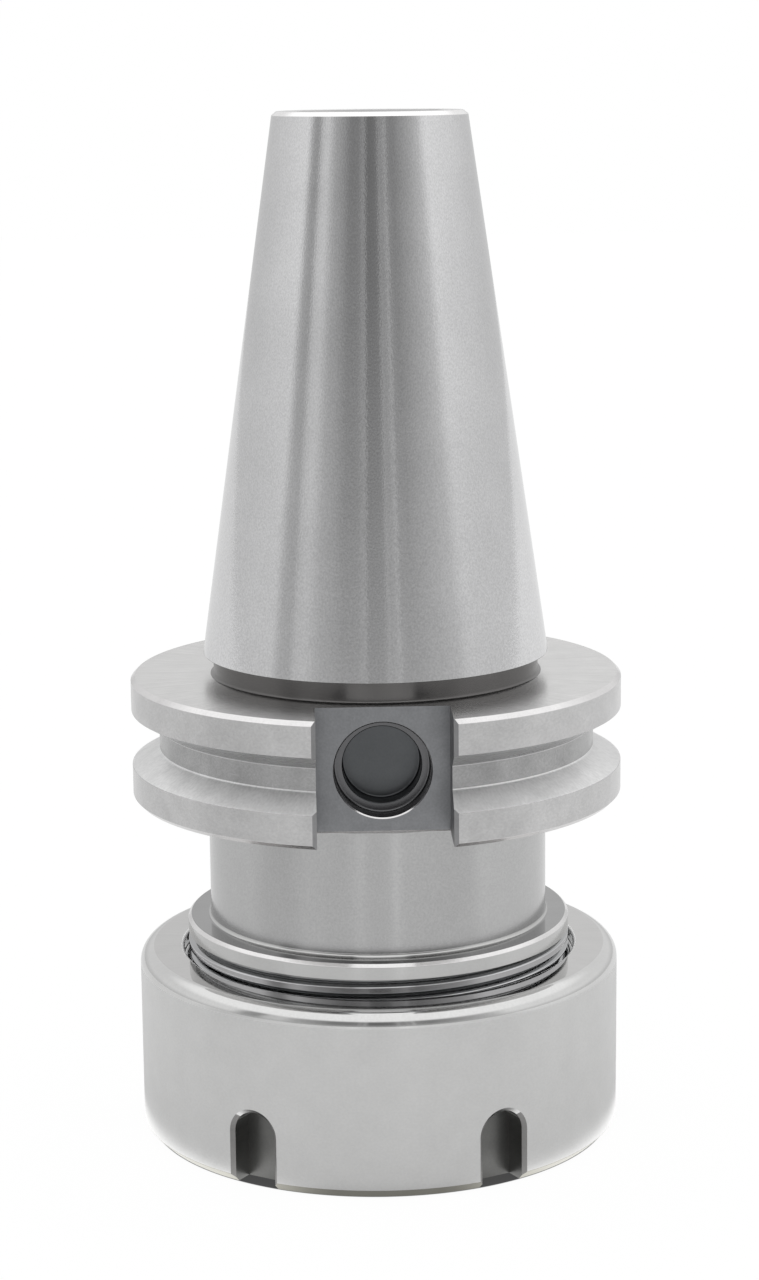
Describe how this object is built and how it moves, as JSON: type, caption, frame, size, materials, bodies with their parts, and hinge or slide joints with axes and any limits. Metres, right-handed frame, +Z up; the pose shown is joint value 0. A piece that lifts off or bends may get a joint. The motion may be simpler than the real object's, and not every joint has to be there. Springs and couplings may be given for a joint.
{
  "type": "collet chuck holder",
  "caption": "Steep-taper V-flange tool holder with a spring collet held in its nose by a slotted clamping nut.",
  "frame": {"origin": "centre of the clamping nut's front face, where the tool enters", "axes": "+Z runs up the spindle axis to the small end of the taper; -Y is the side of the drive slot with the round pocket"},
  "size_m": [0.0635, 0.0628, 0.1318],
  "materials": {
    "ground_steel": "hardened steel, taper and neck finely ground, edges polished",
    "nut_steel": "hardened steel, satin ground wall, polished top edge",
    "collet_steel": "hardened spring steel, finely ground cones"
  },
  "bodies": {
    "holder": {"chuck_body": "ground_steel"},
    "collet": {"spring_collet": "collet_steel"},
    "nut": {"clamping_nut": "nut_steel"}
  },
  "joints": [
    {"name": "collet_draw", "type": "slide", "parent": "holder", "child": "collet", "axis": [0, 0, -1], "range_m": [0, 0.009]},
    {"name": "nut_turn", "type": "hinge", "parent": "collet", "child": "nut", "pos_m": [0, 0, 0.012], "axis": [0, 0, -1], "range_deg": [0, 2160]}
  ],
  "couplings": [
    {"joint": "collet_draw", "follows": "nut_turn", "m_per_rad": 0.00023873}
  ]
}
